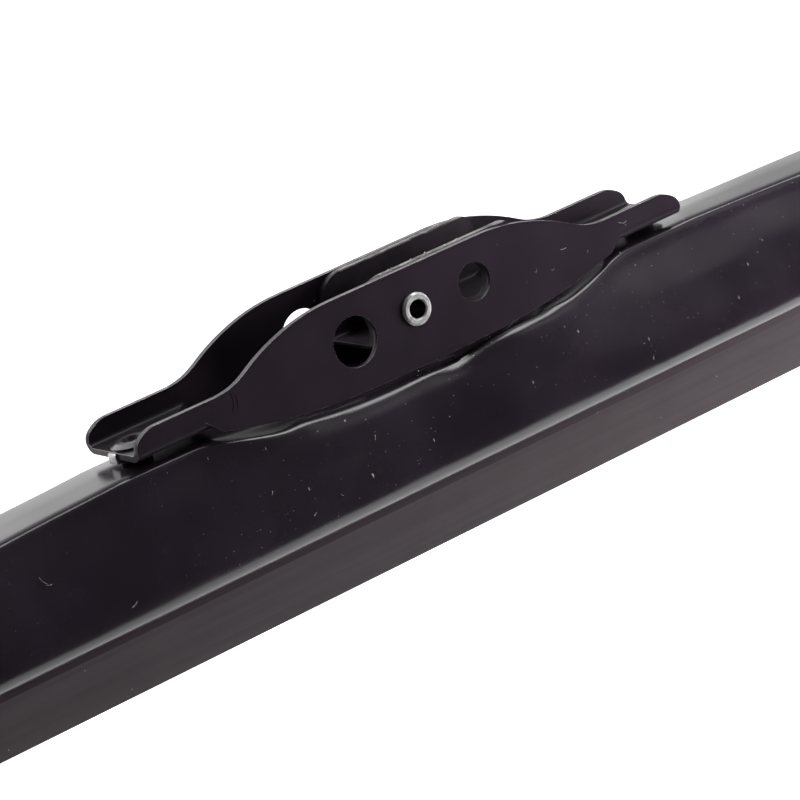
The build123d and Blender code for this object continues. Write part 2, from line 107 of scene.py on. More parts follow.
# Where the boot's necked form and its dip fade out, as shares of the tail's start
NECK_FADE = (0.7 * TAIL_START, 1.15 * TAIL_START)
DIP_FADE = (0.7 * TAIL_START, 1.1 * TAIL_START)

# Places of the boot's stations in millimetres: fine steps under the saddle, coarse ones beyond it
FINE_REACH = 75
FINE_STEP = 0.8
COARSE_STEP = 2.5

# Along the blade in millimetres: where the near rim is rolled, and where it only slopes
ROLL_RISE, ROLL_FALL = (-2.0, 7.0), (18.0, 26.0)
SLOPE_RISE, SLOPE_FALL = (-28.0, -20.0), (-6.0, 3.0)

# Floor in metres: how far it reaches, and how far it comes to the front of the blade
FLOOR_REACH = 3.0
FLOOR_FRONT = 0.035

# Strength of the floor's own white to the camera and in mirror images
FLOOR_TO_CAMERA = 0.7
FLOOR_MIRRORED = 0.22


# Settings that a user would change

class BladeSizes(bpy.types.PropertyGroup):
    """Sizes of the pieces that this script makes."""
    boot_columns: IntProperty(name="Boot columns", description="Points round the boot's outline",
                              default=120, min=24)
    fold_depth: FloatProperty(name="Fold depth", description="Depth of the soft folds in the boot",
                              default=0.32 * MM, unit="LENGTH")
    lint_radius: FloatProperty(name="Lint radius", description="Half thickness of a lint hair",
                               default=0.022 * MM, unit="LENGTH")
    edge_width: FloatProperty(name="Edge width", description="Rounding of the saddle's sheared edges",
                              default=0.12 * MM, unit="LENGTH")


class BladeColours(bpy.types.PropertyGroup):
    """Colours of the finishes."""
    paint: FloatVectorProperty(name="Saddle paint", description="Black paint on the pressed steel",
                               subtype="COLOR", size=3, default=(0.0170, 0.0122, 0.0175))
    # Pale colour of the saddle's edges: a painted highlight, not a thinner paint
    edge: FloatVectorProperty(name="Saddle edges", description="Thin paint over the sheared edges",
                              subtype="COLOR", size=3, default=(0.80, 0.77, 0.81))
    boot: FloatVectorProperty(name="Boot rubber", description="Glossy rubber of the boot",
                              subtype="COLOR", size=3, default=(0.0100, 0.0068, 0.0112))
    squeegee: FloatVectorProperty(name="Squeegee rubber", description="Dull rubber of the wiping strip",
                                  subtype="COLOR", size=3, default=(0.0340, 0.0262, 0.0303))
    steel: FloatVectorProperty(name="Bright steel", description="Bare steel of the pin and sleeves",
                               subtype="COLOR", size=3, default=(0.80, 0.79, 0.79))
    dust: FloatVectorProperty(name="Dust", description="Pale dust and lint",
                              subtype="COLOR", size=3, default=(0.52, 0.50, 0.47))
    plastic: FloatVectorProperty(name="Adapter plastic", description="Black plastic of the adapter",
                                 subtype="COLOR", size=3, default=(0.019, 0.015, 0.019))


class BladeStage(bpy.types.PropertyGroup):
    """Camera and studio."""
    azimuth: FloatProperty(name="Camera azimuth", description="Turn of the view about the vertical",
                           default=math.radians(-31.0152), subtype="ANGLE")
    elevation: FloatProperty(name="Camera elevation", description="Height angle of the view",
                             default=math.radians(16.3263), subtype="ANGLE")
    roll: FloatProperty(name="Camera roll", description="Turn of the view about its own axis",
                        default=math.radians(-15.6283), subtype="ANGLE")
    distance: FloatProperty(name="Camera distance", description="From the aim point to the lens",
                            default=509.9 * MM, unit="LENGTH")
    aim: FloatVectorProperty(name="Aim point", description="Point in the middle of the view",
                             size=3, default=(-3.160 * MM, -1.728 * MM, -11.638 * MM), subtype="XYZ")
    lens: FloatProperty(name="Focal length", description="In millimetres on a 36 mm sensor",
                        default=180.0)
    floor_gap: FloatProperty(name="Floor gap", description="From the wiping edge down to the floor",
                             default=60 * MM, unit="LENGTH")


# Helpers for meshes

SHARP_ANGLE = math.radians(60)


def smooth_step(value, start, end):
    """Ease from 0 at start to 1 at end."""
    t = min(1.0, max(0.0, (value - start) / (end - start)))
    return t * t * (3 - 2 * t)


def link_mesh(name, vertices, faces, material):
    """New smooth object with sharp corners, from points in millimetres."""
    mesh = bpy.data.meshes.new(name)
    mesh.from_pydata([Vector(v) * MM for v in vertices], [], faces)
    mesh.validate()
    mesh.update()
    builder = bmesh.new()
    builder.from_mesh(mesh)
    bmesh.ops.recalc_face_normals(builder, faces=builder.faces)
    builder.to_mesh(mesh)
    builder.free()
    for polygon in mesh.polygons:
        polygon.use_smooth = True
    mesh.set_sharp_from_angle(angle=SHARP_ANGLE)
    mesh.materials.append(material)
    thing = bpy.data.objects.new(name, mesh)
    bpy.context.scene.collection.objects.link(thing)
    return thing


def dress_node(name, material):
    """Give a carried-over CAD node its finish."""
    slots = frame["nodes"][name].data.materials
    for index in range(len(slots)):
        slots[index] = material
    if not slots:
        slots.append(material)


# Materials

class Graph:
    """A node tree with short ways to add to it."""

    def __init__(self, tree):
        self.nodes = tree.nodes
        self.links = tree.links

    def join(self, source, target):
        """Link two sockets."""
        self.links.new(source, target)

    def ramp(self, source, low, high, start=0.0, end=1.0):
        """Map the range from start to end onto low to high, clamped."""
        node = self.nodes.new("ShaderNodeMapRange")
        node.inputs["From Min"].default_value = start
        node.inputs["From Max"].default_value = end
        node.inputs["To Min"].default_value = low
        node.inputs["To Max"].default_value = high
        self.join(source, node.inputs["Value"])
        return node.outputs["Result"]

    def math(self, operation, first, second=None):
        """One arithmetic node; either input may be a number."""
        node = self.nodes.new("ShaderNodeMath")
        node.operation = operation
        for socket, value in zip(node.inputs, (first, second)):
            if value is None:
                continue
            if isinstance(value, (int, float)):
                socket.default_value = value
            else:
                self.join(value, socket)
        return node.outputs["Value"]


class Finish(Graph):
    """A node material that is built up step by step."""

    def __init__(self, name):
        self.material = bpy.data.materials.new(name)
        self.material.use_nodes = True
        super().__init__(self.material.node_tree)
        self.shader = self.nodes["Principled BSDF"]
        self.place = self.nodes.new("ShaderNodeTexCoord").outputs["Object"]

    def stretched(self, scale):
        """Object coordinates scaled along each axis."""
        mapping = self.nodes.new("ShaderNodeMapping")
        mapping.inputs["Scale"].default_value = scale
        self.join(self.place, mapping.inputs["Vector"])
        return mapping.outputs["Vector"]

    def axes(self):
        """Object coordinates as three outputs, X, Y and Z."""
        split = self.nodes.new("ShaderNodeSeparateXYZ")
        self.join(self.place, split.inputs["Vector"])
        return split.outputs

    def cloud(self, scale, detail=3.0, roughness=0.5, stretch=(1, 1, 1)):
        """Soft noise in object space."""
        node = self.nodes.new("ShaderNodeTexNoise")
        node.inputs["Scale"].default_value = scale
        node.inputs["Detail"].default_value = detail
        node.inputs["Roughness"].default_value = roughness
        self.join(self.stretched(stretch), node.inputs["Vector"])
        return node.outputs["Fac"]

    def specks(self, scale, share, stretch=(1, 1, 1)):
        """Small separate flecks: share is how many cells carry one."""
        cells = self.nodes.new("ShaderNodeTexVoronoi")
        cells.inputs["Scale"].default_value = scale
        self.join(self.stretched(stretch), cells.inputs["Vector"])
        near = self.ramp(cells.outputs["Distance"], 1.0, 0.0, 0.06, 0.13)
        picked = self.nodes.new("ShaderNodeSeparateColor")
        self.join(cells.outputs["Color"], picked.inputs["Color"])
        chosen = self.ramp(picked.outputs["Red"], 1.0, 0.0, share, share + 0.01)
        return self.math("MULTIPLY", near, chosen)

    def hairs(self, scale, width, share):
        """Thin broken lines, like fine scratches."""
        waves = self.cloud(scale, 2.0, 0.6, (1.0, 1.0, 0.35))
        middle = self.math("SUBTRACT", waves, 0.5)
        line = self.ramp(self.math("ABSOLUTE", middle), 1.0, 0.0, 0.0, width)
        broken = self.ramp(self.cloud(scale * 0.9, 2.0), 0.0, 1.0, 1 - share, 1 - share + 0.05)
        return self.math("MULTIPLY", line, broken)

    def blend(self, share, first, second):
        """Mix of two colours; each is a colour or a socket."""
        node = self.nodes.new("ShaderNodeMix")
        node.data_type = "RGBA"
        self.join(share, node.inputs["Factor"])
        for socket, value in ((node.inputs[6], first), (node.inputs[7], second)):
            if hasattr(value, "is_linked"):
                self.join(value, socket)
            else:
                socket.default_value = (*value, 1.0)
        return node.outputs[2]

    def bump(self, height, strength, distance):
        """Bump from a height in object space, chained on the last one."""
        node = self.nodes.new("ShaderNodeBump")
        node.inputs["Strength"].default_value = strength
        node.inputs["Distance"].default_value = distance
        self.join(height, node.inputs["Height"])
        if self.shader.inputs["Normal"].is_linked:
            self.join(self.shader.inputs["Normal"].links[0].from_socket, node.inputs["Normal"])
        self.join(node.outputs["Normal"], self.shader.inputs["Normal"])

    def colour(self, source):
        """Colour of the surface, from a colour or a socket."""
        if hasattr(source, "is_linked"):
            self.join(source, self.shader.inputs["Base Color"])
        else:
            self.shader.inputs["Base Color"].default_value = (*source, 1.0)

    def roughness(self, source):
        """Roughness, from a number or a socket."""
        if hasattr(source, "is_linked"):
            self.join(source, self.shader.inputs["Roughness"])
        else:
            self.shader.inputs["Roughness"].default_value = source


def boot_rubber(colours):
    """Glossy black rubber with fine dust and short lint."""
    finish = Finish("boot_rubber")
    base = tuple(colours.boot)
    tone = finish.blend(finish.ramp(finish.cloud(60), 0.0, 1.0, 0.35, 0.65), base,
                        tuple(c * 1.8 for c in base))
    settled = finish.ramp(finish.cloud(30, 3.0), 0.05, 1.0, 0.45, 0.62)
    grains = finish.math("MAXIMUM", finish.specks(2300, 0.13), finish.specks(1300, 0.04))
    shreds = finish.specks(1200, 0.06, (1.0, 1.0, 0.3))
    dust = finish.math("MULTIPLY", finish.math("MAXIMUM", grains, shreds), settled)
    film = finish.ramp(finish.cloud(38, 5.0, 0.6), 0.0, 0.016, 0.4, 0.8)
    finish.colour(finish.blend(finish.math("MAXIMUM", dust, film), tone, tuple(colours.dust)))
    haze = finish.ramp(finish.cloud(45, 4.0), 0.16, 0.26, 0.3, 0.7)
    finish.roughness(finish.math("MAXIMUM", haze, finish.math("MULTIPLY", dust, 0.8)))
    finish.shader.inputs["IOR"].default_value = 1.52
    finish.bump(finish.cloud(55, 2.0), 0.25, 0.6 * MM)
    finish.bump(finish.cloud(1400, 3.0), 0.05, 0.04 * MM)
    return finish.material


def saddle_paint(colours):
    """Satin black paint with faint scratches, bare where the left tail's tab was cut."""
    finish = Finish("saddle_paint")
    base = tuple(colours.paint)
    tone = finish.blend(finish.ramp(finish.cloud(120), 0.0, 1.0, 0.3, 0.7), base,
                        tuple(c * 1.4 for c in base))
    marks = finish.math("MAXIMUM", finish.hairs(240, 0.006, 0.3), finish.specks(700, 0.03))
    spot = finish.axes()
    past_end = finish.ramp(spot["X"], 1.0, 0.0, (0.12 - SADDLE_END) * MM, (0.22 - SADDLE_END) * MM)
    in_tab = finish.ramp(finish.math("ABSOLUTE", spot["Y"]), 1.0, 0.0,
                         (TAB_HALF - 0.02) * MM, (TAB_HALF + 0.02) * MM)
    bare = finish.math("MULTIPLY", past_end, in_tab)
    dusty = finish.blend(finish.math("MULTIPLY", marks, 0.35), tone, tuple(colours.dust))
    finish.colour(finish.blend(bare, dusty, tuple(0.75 * c for c in colours.steel)))
    finish.join(bare, finish.shader.inputs["Metallic"])
    finish.roughness(finish.ramp(finish.cloud(300, 4.0), 0.28, 0.38, 0.3, 0.7))
    finish.shader.inputs["Specular IOR Level"].default_value = 0.22
    finish.bump(finish.cloud(900, 3.0), 0.1, 0.06 * MM)
    finish.bump(finish.hairs(160, 0.01, 0.35), 0.2, 0.05 * MM)
    finish.bump(finish.math("MULTIPLY", bare, finish.cloud(1500, 2.0)), 0.6, 0.2 * MM)
    return finish.material


def inner_paint(colours, name="inner_paint", share=1.0, specular=0.5):
    """Plain satin paint of the rivets and levers; a low share darkens it into painted shade."""
    finish = Finish(name)
    base = tuple(share * c for c in colours.paint)
    finish.colour(finish.blend(finish.ramp(finish.cloud(200), 0.0, 1.0, 0.3, 0.7), base,
                               tuple(c * 1.5 for c in base)))
    finish.roughness(finish.ramp(finish.cloud(400, 3.0), 0.2, 0.34, 0.3, 0.7))
    finish.shader.inputs["Specular IOR Level"].default_value = specular
    finish.bump(finish.cloud(1200, 3.0), 0.12, 0.06 * MM)
    return finish.material


def edge_painted_highlight(colours):
    """Pale, near-metal colour on the rounded sheared edges: a painted highlight along edges whose paint
    is black.
    """
    finish = Finish("edge_painted_highlight")
    base = tuple(colours.edge)
    finish.colour(finish.blend(finish.ramp(finish.cloud(700, 4.0), 0.0, 1.0, 0.3, 0.7),
                               tuple(c * 0.4 for c in base), base))
    finish.roughness(finish.ramp(finish.cloud(500, 3.0), 0.22, 0.36, 0.3, 0.7))
    finish.shader.inputs["Metallic"].default_value = 0.8
    finish.bump(finish.cloud(1500, 3.0), 0.15, 0.05 * MM)
    return finish.material


def bright_steel(colours, name="bright_steel", bore=0.0, metallic=1.0):
    """Bare steel, a little tarnished; within a bore about the Y axis it is painted near-black, a
    painted shade.
    """
    finish = Finish(name)
    base = tuple(colours.steel)
    tone = finish.blend(finish.ramp(finish.cloud(900, 4.0), 0.0, 1.0, 0.35, 0.65), base,
                        tuple(c * 0.6 for c in base))
    off_axis = finish.nodes.new("ShaderNodeVectorMath")
    off_axis.operation = "LENGTH"
    finish.join(finish.stretched((1.0, 0.0, 1.0)), off_axis.inputs[0])
    bore_painted_shade = finish.ramp(off_axis.outputs["Value"], 1.0, 0.0, bore, bore + 0.05 * MM)
    # Near-black within the bore: painted shade in the hollow
    finish.colour(finish.blend(bore_painted_shade, tone, (0.01, 0.01, 0.011)))
    finish.shader.inputs["Metallic"].default_value = metallic
    finish.roughness(finish.ramp(finish.cloud(700, 4.0), 0.22, 0.5, 0.3, 0.7))
    finish.bump(finish.cloud(1800, 3.0), 0.25, 0.06 * MM)
    return finish.material


def black_plastic(colours):
    """Moulded black plastic with a fine grain and a broken pale band along its top, a painted
    highlight.
    """
    finish = Finish("black_plastic")
    base = tuple(colours.plastic)
    tone = finish.blend(finish.ramp(finish.cloud(200), 0.0, 1.0, 0.3, 0.7), base,
                        tuple(c * 1.7 for c in base))
    on_top = finish.ramp(finish.axes()["Z"], 0.0, 1.0,
                         (ADAPTER_TOP - 0.25) * MM, (ADAPTER_TOP - 0.05) * MM)
    broken_top_highlight = finish.ramp(finish.cloud(1100, 4.0, 0.7, (0.35, 1.0, 1.0)), 0.03, 0.8, 0.42, 0.68)
    # Pale band along the cheeks' top: painted highlight, broken up by noise and tinted with the dust
    # colour
    finish.colour(finish.blend(finish.math("MULTIPLY", on_top, broken_top_highlight), tone, tuple(colours.dust)))
    finish.roughness(finish.ramp(finish.cloud(420, 3.0), 0.35, 0.5, 0.3, 0.7))
    finish.shader.inputs["Specular IOR Level"].default_value = 0.12
    finish.bump(finish.cloud(2600, 2.0), 0.15, 0.04 * MM)
    return finish.material


def wiping_rubber(colours):
    """Dull grey-black rubber with faint lines along the strip."""
    finish = Finish("wiping_rubber")
    base = tuple(colours.squeegee)
    streaks = finish.cloud(900, 3.0, 0.5, (0.02, 1.0, 1.0))
    tone = finish.blend(finish.ramp(streaks, 0.0, 1.0, 0.35, 0.65), base,
                        tuple(c * 1.25 for c in base))
    finish.colour(finish.blend(finish.math("MULTIPLY", finish.specks(1100, 0.02), 0.5), tone,
                               tuple(colours.dust)))
    finish.roughness(finish.ramp(finish.cloud(200, 4.0), 0.45, 0.56, 0.3, 0.7))
    finish.shader.inputs["Specular IOR Level"].default_value = 0.3
    finish.bump(streaks, 0.1, 0.05 * MM)
    return finish.material


def scratch_paint(colours):
    """Dark line where the paint is scored."""
    finish = Finish("scratch_paint")
    base = tuple(0.2 * c for c in colours.paint)
    finish.colour(finish.blend(finish.ramp(finish.cloud(2000), 0.0, 1.0, 0.4, 0.6), base,
                               tuple(c * 2.0 for c in base)))
    finish.roughness(0.6)
    finish.shader.inputs["Specular IOR Level"].default_value = 0.1
    return finish.material


def lint_fibre(colours):
    """Pale fibre for the separate lint hairs."""
    finish = Finish("lint_fibre")
    finish.colour(finish.blend(finish.ramp(finish.cloud(2000), 0.0, 1.0, 0.4, 0.6),
                               tuple(colours.dust), (0.8, 0.79, 0.76)))
    finish.roughness(0.7)
    return finish.material


# Boot

def boot_crown(reach):
    """Height of the boot's crown at a distance from the pin."""
    run = max(0.0, reach - BOOT_LEVEL_HALF) / (BOOT_HALF_LENGTH - BOOT_LEVEL_HALF)
    end_top = SQUEEGEE_TOP + BOOT_WALL + BOOT_END_ROOM
    dip = BOOT_DIP * (1 - smooth_step(reach, *DIP_FADE))
    fall = BOOT_EVEN_FALL * run + (1 - BOOT_EVEN_FALL) * run ** BOOT_END_POWER
    return BOOT_TOP - dip + (end_top - BOOT_TOP) * fall


def boot_ledge(reach, crown, inset):
    """Height of the ledge under the saddle's skirt."""
    rise = (TAIL_BOTTOM - STEP_HEIGHT - SADDLE_SKIRT) * min(1.0, reach / TAIL_START) ** SKIRT_POWER
    return min(SADDLE_SKIRT + rise - BOOT_LEDGE_GAP - 0.55 * inset, crown - 1.0)


def boot_half_outline(x, inset):
    """Half outline of the boot from crown to lip, as the part's source has it."""
    reach = abs(x)
    spread = smooth_step(reach, BOOT_SPREAD_START, BOOT_SPREAD_END)
    necked = 1 - smooth_step(reach, *NECK_FADE)
    crown = boot_crown(reach) - inset
    half = BOOT_NECK_HALF + (BOOT_END_HALF - BOOT_NECK_HALF) * spread - inset
    belly = BOOT_BELLY_HALF + 0.4 * spread - inset
    bottom = BOOT_BOTTOM + inset
    waist = min(BOOT_BELLY_Z, 0.5 * (crown - 2.5 + bottom))
    ledge = boot_ledge(reach, crown, inset)
    shoulder = half + BOOT_LEDGE_WIDTH
    side_drop = 2.0
    side_share = (side_drop - 0.9) / (crown - 0.9 - waist)
    neck = [
        (half * 0.55, crown + 0.03), (half - 0.95, crown - 0.12), (half - 0.15, crown - 0.6),
        (half, 0.5 * (crown - 0.6 + ledge)), (half + 0.12, ledge + 0.12), (shoulder, ledge - 0.4),
        (shoulder + 0.5, ledge - 1.6),
    ]
    plain = [
        (half * 0.4, crown + 0.05), (half * 0.62, crown), (half * 0.8, crown - 0.06),
        (half - 0.55, crown - 0.14), (half - 0.25, crown - 0.3), (half + 0.05, crown - 0.65),
        (half + (belly - half) * side_share ** 0.9, crown - side_drop),
    ]
    points = [(0.0, crown + 0.1)]
    for (neck_y, neck_z), (plain_y, plain_z) in zip(neck, plain):
        points.append((plain_y + necked * (neck_y - plain_y), plain_z + necked * (neck_z - plain_z)))
    last_y, last_z = points[-1]
    points.append((last_y + 0.6 * (belly - last_y), 0.5 * (last_z + waist)))
    points.append((belly, waist))
    points.append((belly - 0.35, waist - 0.45 * (waist - bottom)))
    points.append((belly - 1.5, waist - 0.8 * (waist - bottom)))
    points.append((belly - 3.6, bottom))
    points.append((BOOT_LIP_HALF, bottom + 0.15))
    return points


def curve_through(points, count):
    """Evenly spaced points on a smooth centripetal curve through the given ones."""
    first = (2 * points[0][0] - points[1][0], 2 * points[0][1] - points[1][1])
    last = (2 * points[-1][0] - points[-2][0], 2 * points[-1][1] - points[-2][1])
    run = [Vector(p) for p in (first, *points, last)]
    fine = []
    for p0, p1, p2, p3 in zip(run, run[1:], run[2:], run[3:]):
        t1 = math.sqrt((p1 - p0).length) or 1e-6
        t2 = t1 + (math.sqrt((p2 - p1).length) or 1e-6)
        t3 = t2 + (math.sqrt((p3 - p2).length) or 1e-6)
        for step in range(10):
            t = t1 + (t2 - t1) * step / 10
            a1 = p0 * ((t1 - t) / t1) + p1 * (t / t1)
            a2 = p1 * ((t2 - t) / (t2 - t1)) + p2 * ((t - t1) / (t2 - t1))
            a3 = p2 * ((t3 - t) / (t3 - t2)) + p3 * ((t - t2) / (t3 - t2))
            b1 = a1 * ((t2 - t) / t2) + a2 * (t / t2)
            b2 = a2 * ((t3 - t) / (t3 - t1)) + a3 * ((t - t1) / (t3 - t1))
            fine.append(b1 * ((t2 - t) / (t2 - t1)) + b2 * ((t - t1) / (t2 - t1)))
    fine.append(Vector(points[-1]))
    lengths = [0.0]
    for before, after in zip(fine, fine[1:]):
        lengths.append(lengths[-1] + (after - before).length)
    spaced, index = [], 0
    for step in range(count):
        goal = lengths[-1] * step / (count - 1)
        while index < len(fine) - 2 and lengths[index + 1] < goal:
            index += 1
        span = lengths[index + 1] - lengths[index] or 1e-9
        spaced.append(fine[index].lerp(fine[index + 1], (goal - lengths[index]) / span))
    return spaced


def boot_outline(x, inset, count):
    """Full outline of the boot's skin at one station."""
    half = boot_half_outline(x, inset)
    return curve_through([(-y, z) for y, z in reversed(half)] + half[1:], count)


def boot_stations():
    """Stations along the boot, finest where the saddle sits."""
    stations, x = [0.0], 0.0
    while x < BOOT_HALF_LENGTH:
        x += FINE_STEP if x < FINE_REACH else COARSE_STEP
        stations.append(min(x, BOOT_HALF_LENGTH))
    return [-x for x in reversed(stations[1:])] + stations


# Soft bulges of the near side: place along the blade, height, two half sizes and how far out
BULGES = (
    (13.0, -8.2, 6.0, 2.0, 0.7), (3.5, -8.4, 4.0, 1.3, -0.4), (23.5, -6.6, 4.0, 1.4, 0.1),
    (-20.0, -6.6, 8.0, 1.5, 0.3), (16.0, -11.5, 9.0, 3.0, 0.25), (-13.0, -10.6, 15.0, 1.9, 0.4),
    (21.0, -14.4, 7.0, 2.4, 0.4),
)


def mound(across, along, half_across, half_along):
    """Bell-shaped rise of height 1 with two half sizes."""
    return math.exp(-(across / half_across) ** 2 - (along / half_along) ** 2)


def near_roll(x, y, z):
    """Rolled rim of the near ledge: a hollow behind it and a rounder shoulder, wider on the left."""
    if y > 0 or not SLOPE_RISE[0] < x < ROLL_FALL[1]:
        return 0.0
    above = z - boot_ledge(abs(x), boot_crown(abs(x)), 0.0)
    past_neck = y + BOOT_NECK_HALF
    past_rim = past_neck + BOOT_LEDGE_WIDTH
    hollow = mound(past_neck + 0.5, above, 0.45, 0.8)
    shoulder = mound(past_rim + 0.1, above + 0.4, 0.55, 0.6)
    slope = mound(past_rim, above + 0.2, 1.0, 1.1)
    rolled = smooth_step(x, *ROLL_RISE) * (1 - smooth_step(x, *ROLL_FALL))
    sloped = smooth_step(x, *SLOPE_RISE) * (1 - smooth_step(x, *SLOPE_FALL))
    return -rolled * (0.7 * hollow + 0.25 * shoulder) - 0.2 * sloped * slope


def near_bulge(x, y, z):
    """Sum of the bulges at a point of the near side, in millimetres."""
    if y > 0:
        return 0.0
    return sum(out * mound(x - at, z - level, run, rise) for at, level, run, rise, out in BULGES)


def soft_fold(x, y, z, depth):
    """How far the skin moves in or out at a point, in millimetres."""
    broad = noise.noise(Vector((x * 0.035, y * 0.08, z * 0.09)))
    fine = noise.noise(Vector((x * 0.11 + 7, y * 0.12, z * 0.2)))
    calm = smooth_step(z, BOOT_BOTTOM + 1.0, BOOT_BOTTOM + 6.0)
    fold = depth * calm * (0.75 * broad + 0.25 * fine) - depth * 0.6
    return fold + near_bulge(x, y, z) + near_roll(x, y, z)


class WIPER_OT_boot(bpy.types.Operator):
    """Rubber boot as a hollow skin with soft folds, open along its underside."""
    bl_idname = "wiper.boot"
    bl_label = "Rubber boot"

    def execute(self, context):
        sizes = context.scene.blade_sizes
        count = sizes.boot_columns
        depth = sizes.fold_depth / MM
        stations = boot_stations()
        vertices, faces = [], []
        for x in stations:
            outer = boot_outline(x, 0.0, count)
            inner = boot_outline(x, BOOT_WALL, count)
            for index, point in enumerate(outer):
                before = outer[max(index - 1, 0)]
                after = outer[min(index + 1, count - 1)]
                along = (after - before).normalized()
                outward = Vector((-along.y, along.x))
                moved = point + outward * soft_fold(x, point.x, point.y, depth)
                vertices.append((x, moved.x, moved.y))
            vertices += [(x, point.x, point.y) for point in inner]
        ring = 2 * count
        for row in range(len(stations) - 1):
            here, there = row * ring, (row + 1) * ring
            for index in range(count - 1):
                faces.append((here + index, here + index + 1, there + index + 1, there + index))
                low = here + count + index
                far = there + count + index
                faces.append((low, far, far + 1, low + 1))
            faces.append((here, there, there + count, here + count))
            faces.append((here + count - 1, here + ring - 1, there + ring - 1, there + count - 1))
        self.close_ends(vertices, faces, stations, count)
        material = boot_rubber(context.scene.blade_colours)
        boot = link_mesh("boot_skin", vertices, faces, material)
        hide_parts("rubber_boot")
        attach(boot, BLADE)
        return {"FINISHED"}

    def slot_outline(self, count):
        """Evenly spaced points round the slot for the squeegee's head, from near to far side."""
        half = RAIL_OUTER + BOOT_SLOT_GAP
        top = SQUEEGEE_TOP + BOOT_SLOT_GAP
        corners = [Vector(point) for point in
                   ((-half, BOOT_BOTTOM), (-half, top), (half, top), (half, BOOT_BOTTOM))]
        lengths = [top - BOOT_BOTTOM, 2 * half, top - BOOT_BOTTOM]
        slot = []
        for index in range(count):
            goal = sum(lengths) * index / (count - 1)
            leg = 0
            while leg < 2 and goal > lengths[leg]:
                goal -= lengths[leg]
                leg += 1
            slot.append(corners[leg].lerp(corners[leg + 1], goal / lengths[leg]))
        return slot

    def close_ends(self, vertices, faces, stations, count):
        """Wall across each end with a slot that the squeegee passes through."""
        slot = self.slot_outline(count)
        for row, side in ((0, -1), (len(stations) - 1, 1)):
            x = stations[row]
            outer_slot = len(vertices)
            vertices += [(x, point.x, point.y) for point in slot]
            self.bridge(faces, row * 2 * count, outer_slot, count)
            x -= side * BOOT_WALL
            inner_slot = len(vertices)
            vertices += [(x, point.x, point.y) for point in slot]
            rim = len(vertices)
            vertices += [(x, point.x, point.y) for point in boot_outline(x, BOOT_WALL, count)]
            self.bridge(faces, rim, inner_slot, count)
            self.bridge(faces, inner_slot, outer_slot, count)

    def bridge(self, faces, first, second, count):
        """Strip of faces between two runs of points."""
        for index in range(count - 1):
            faces.append((first + index, first + index + 1, second + index + 1, second + index))


# Saddle

class WIPER_OT_saddle(bpy.types.Operator):
    """Pressed saddle with its sheared edges rounded and coloured pale, a painted highlight."""
    bl_idname = "wiper.saddle"
    bl_label = "Saddle edges"

    def execute(self, context):
        colours = context.scene.blade_colours
        mesh = frame["nodes"]["saddle_bracket"].data.copy()
        mesh.name = "saddle_pressing"
        builder = bmesh.new()
        builder.from_mesh(mesh)
        bmesh.ops.remove_doubles(builder, verts=builder.verts, dist=0.002 * MM)
        bmesh.ops.dissolve_limit(builder, angle_limit=math.radians(1.0), verts=builder.verts,
                                 edges=builder.edges)
        bmesh.ops.recalc_face_normals(builder, faces=builder.faces)
        # The second finish, a pale painted highlight, goes on the sheared rims: faces across the sheet,
        # in the middle of a wall
        middle = (SADDLE_HALF_WIDTH - 0.5 * SADDLE_SHEET) * MM
        for face in builder.faces:
            face.smooth = True
            off_middle = abs(abs(face.calc_center_median().y) - middle)
            face.material_index = int(abs(face.normal.y) < 0.2 and off_middle < 0.1 * MM)
        builder.to_mesh(mesh)
        builder.free()
        mesh.materials.clear()
        mesh.materials.append(saddle_paint(colours))
        mesh.materials.append(edge_painted_highlight(colours))
        saddle = bpy.data.objects.new("saddle_pressing", mesh)
        context.scene.collection.objects.link(saddle)
        rounding = saddle.modifiers.new("edge_rounding", "BEVEL")
        rounding.width = context.scene.blade_sizes.edge_width
        rounding.segments = 2
        rounding.limit_method = "ANGLE"
        rounding.angle_limit = math.radians(50)
        # The bevel's faces take the second finish, the pale painted highlight
        rounding.material = 1
        flat = saddle.modifiers.new("flat_walls", "WEIGHTED_NORMAL")
        flat.weight = 100
        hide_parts("saddle_bracket")
        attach(saddle, BLADE)
        return {"FINISHED"}


# Lint and dust flecks

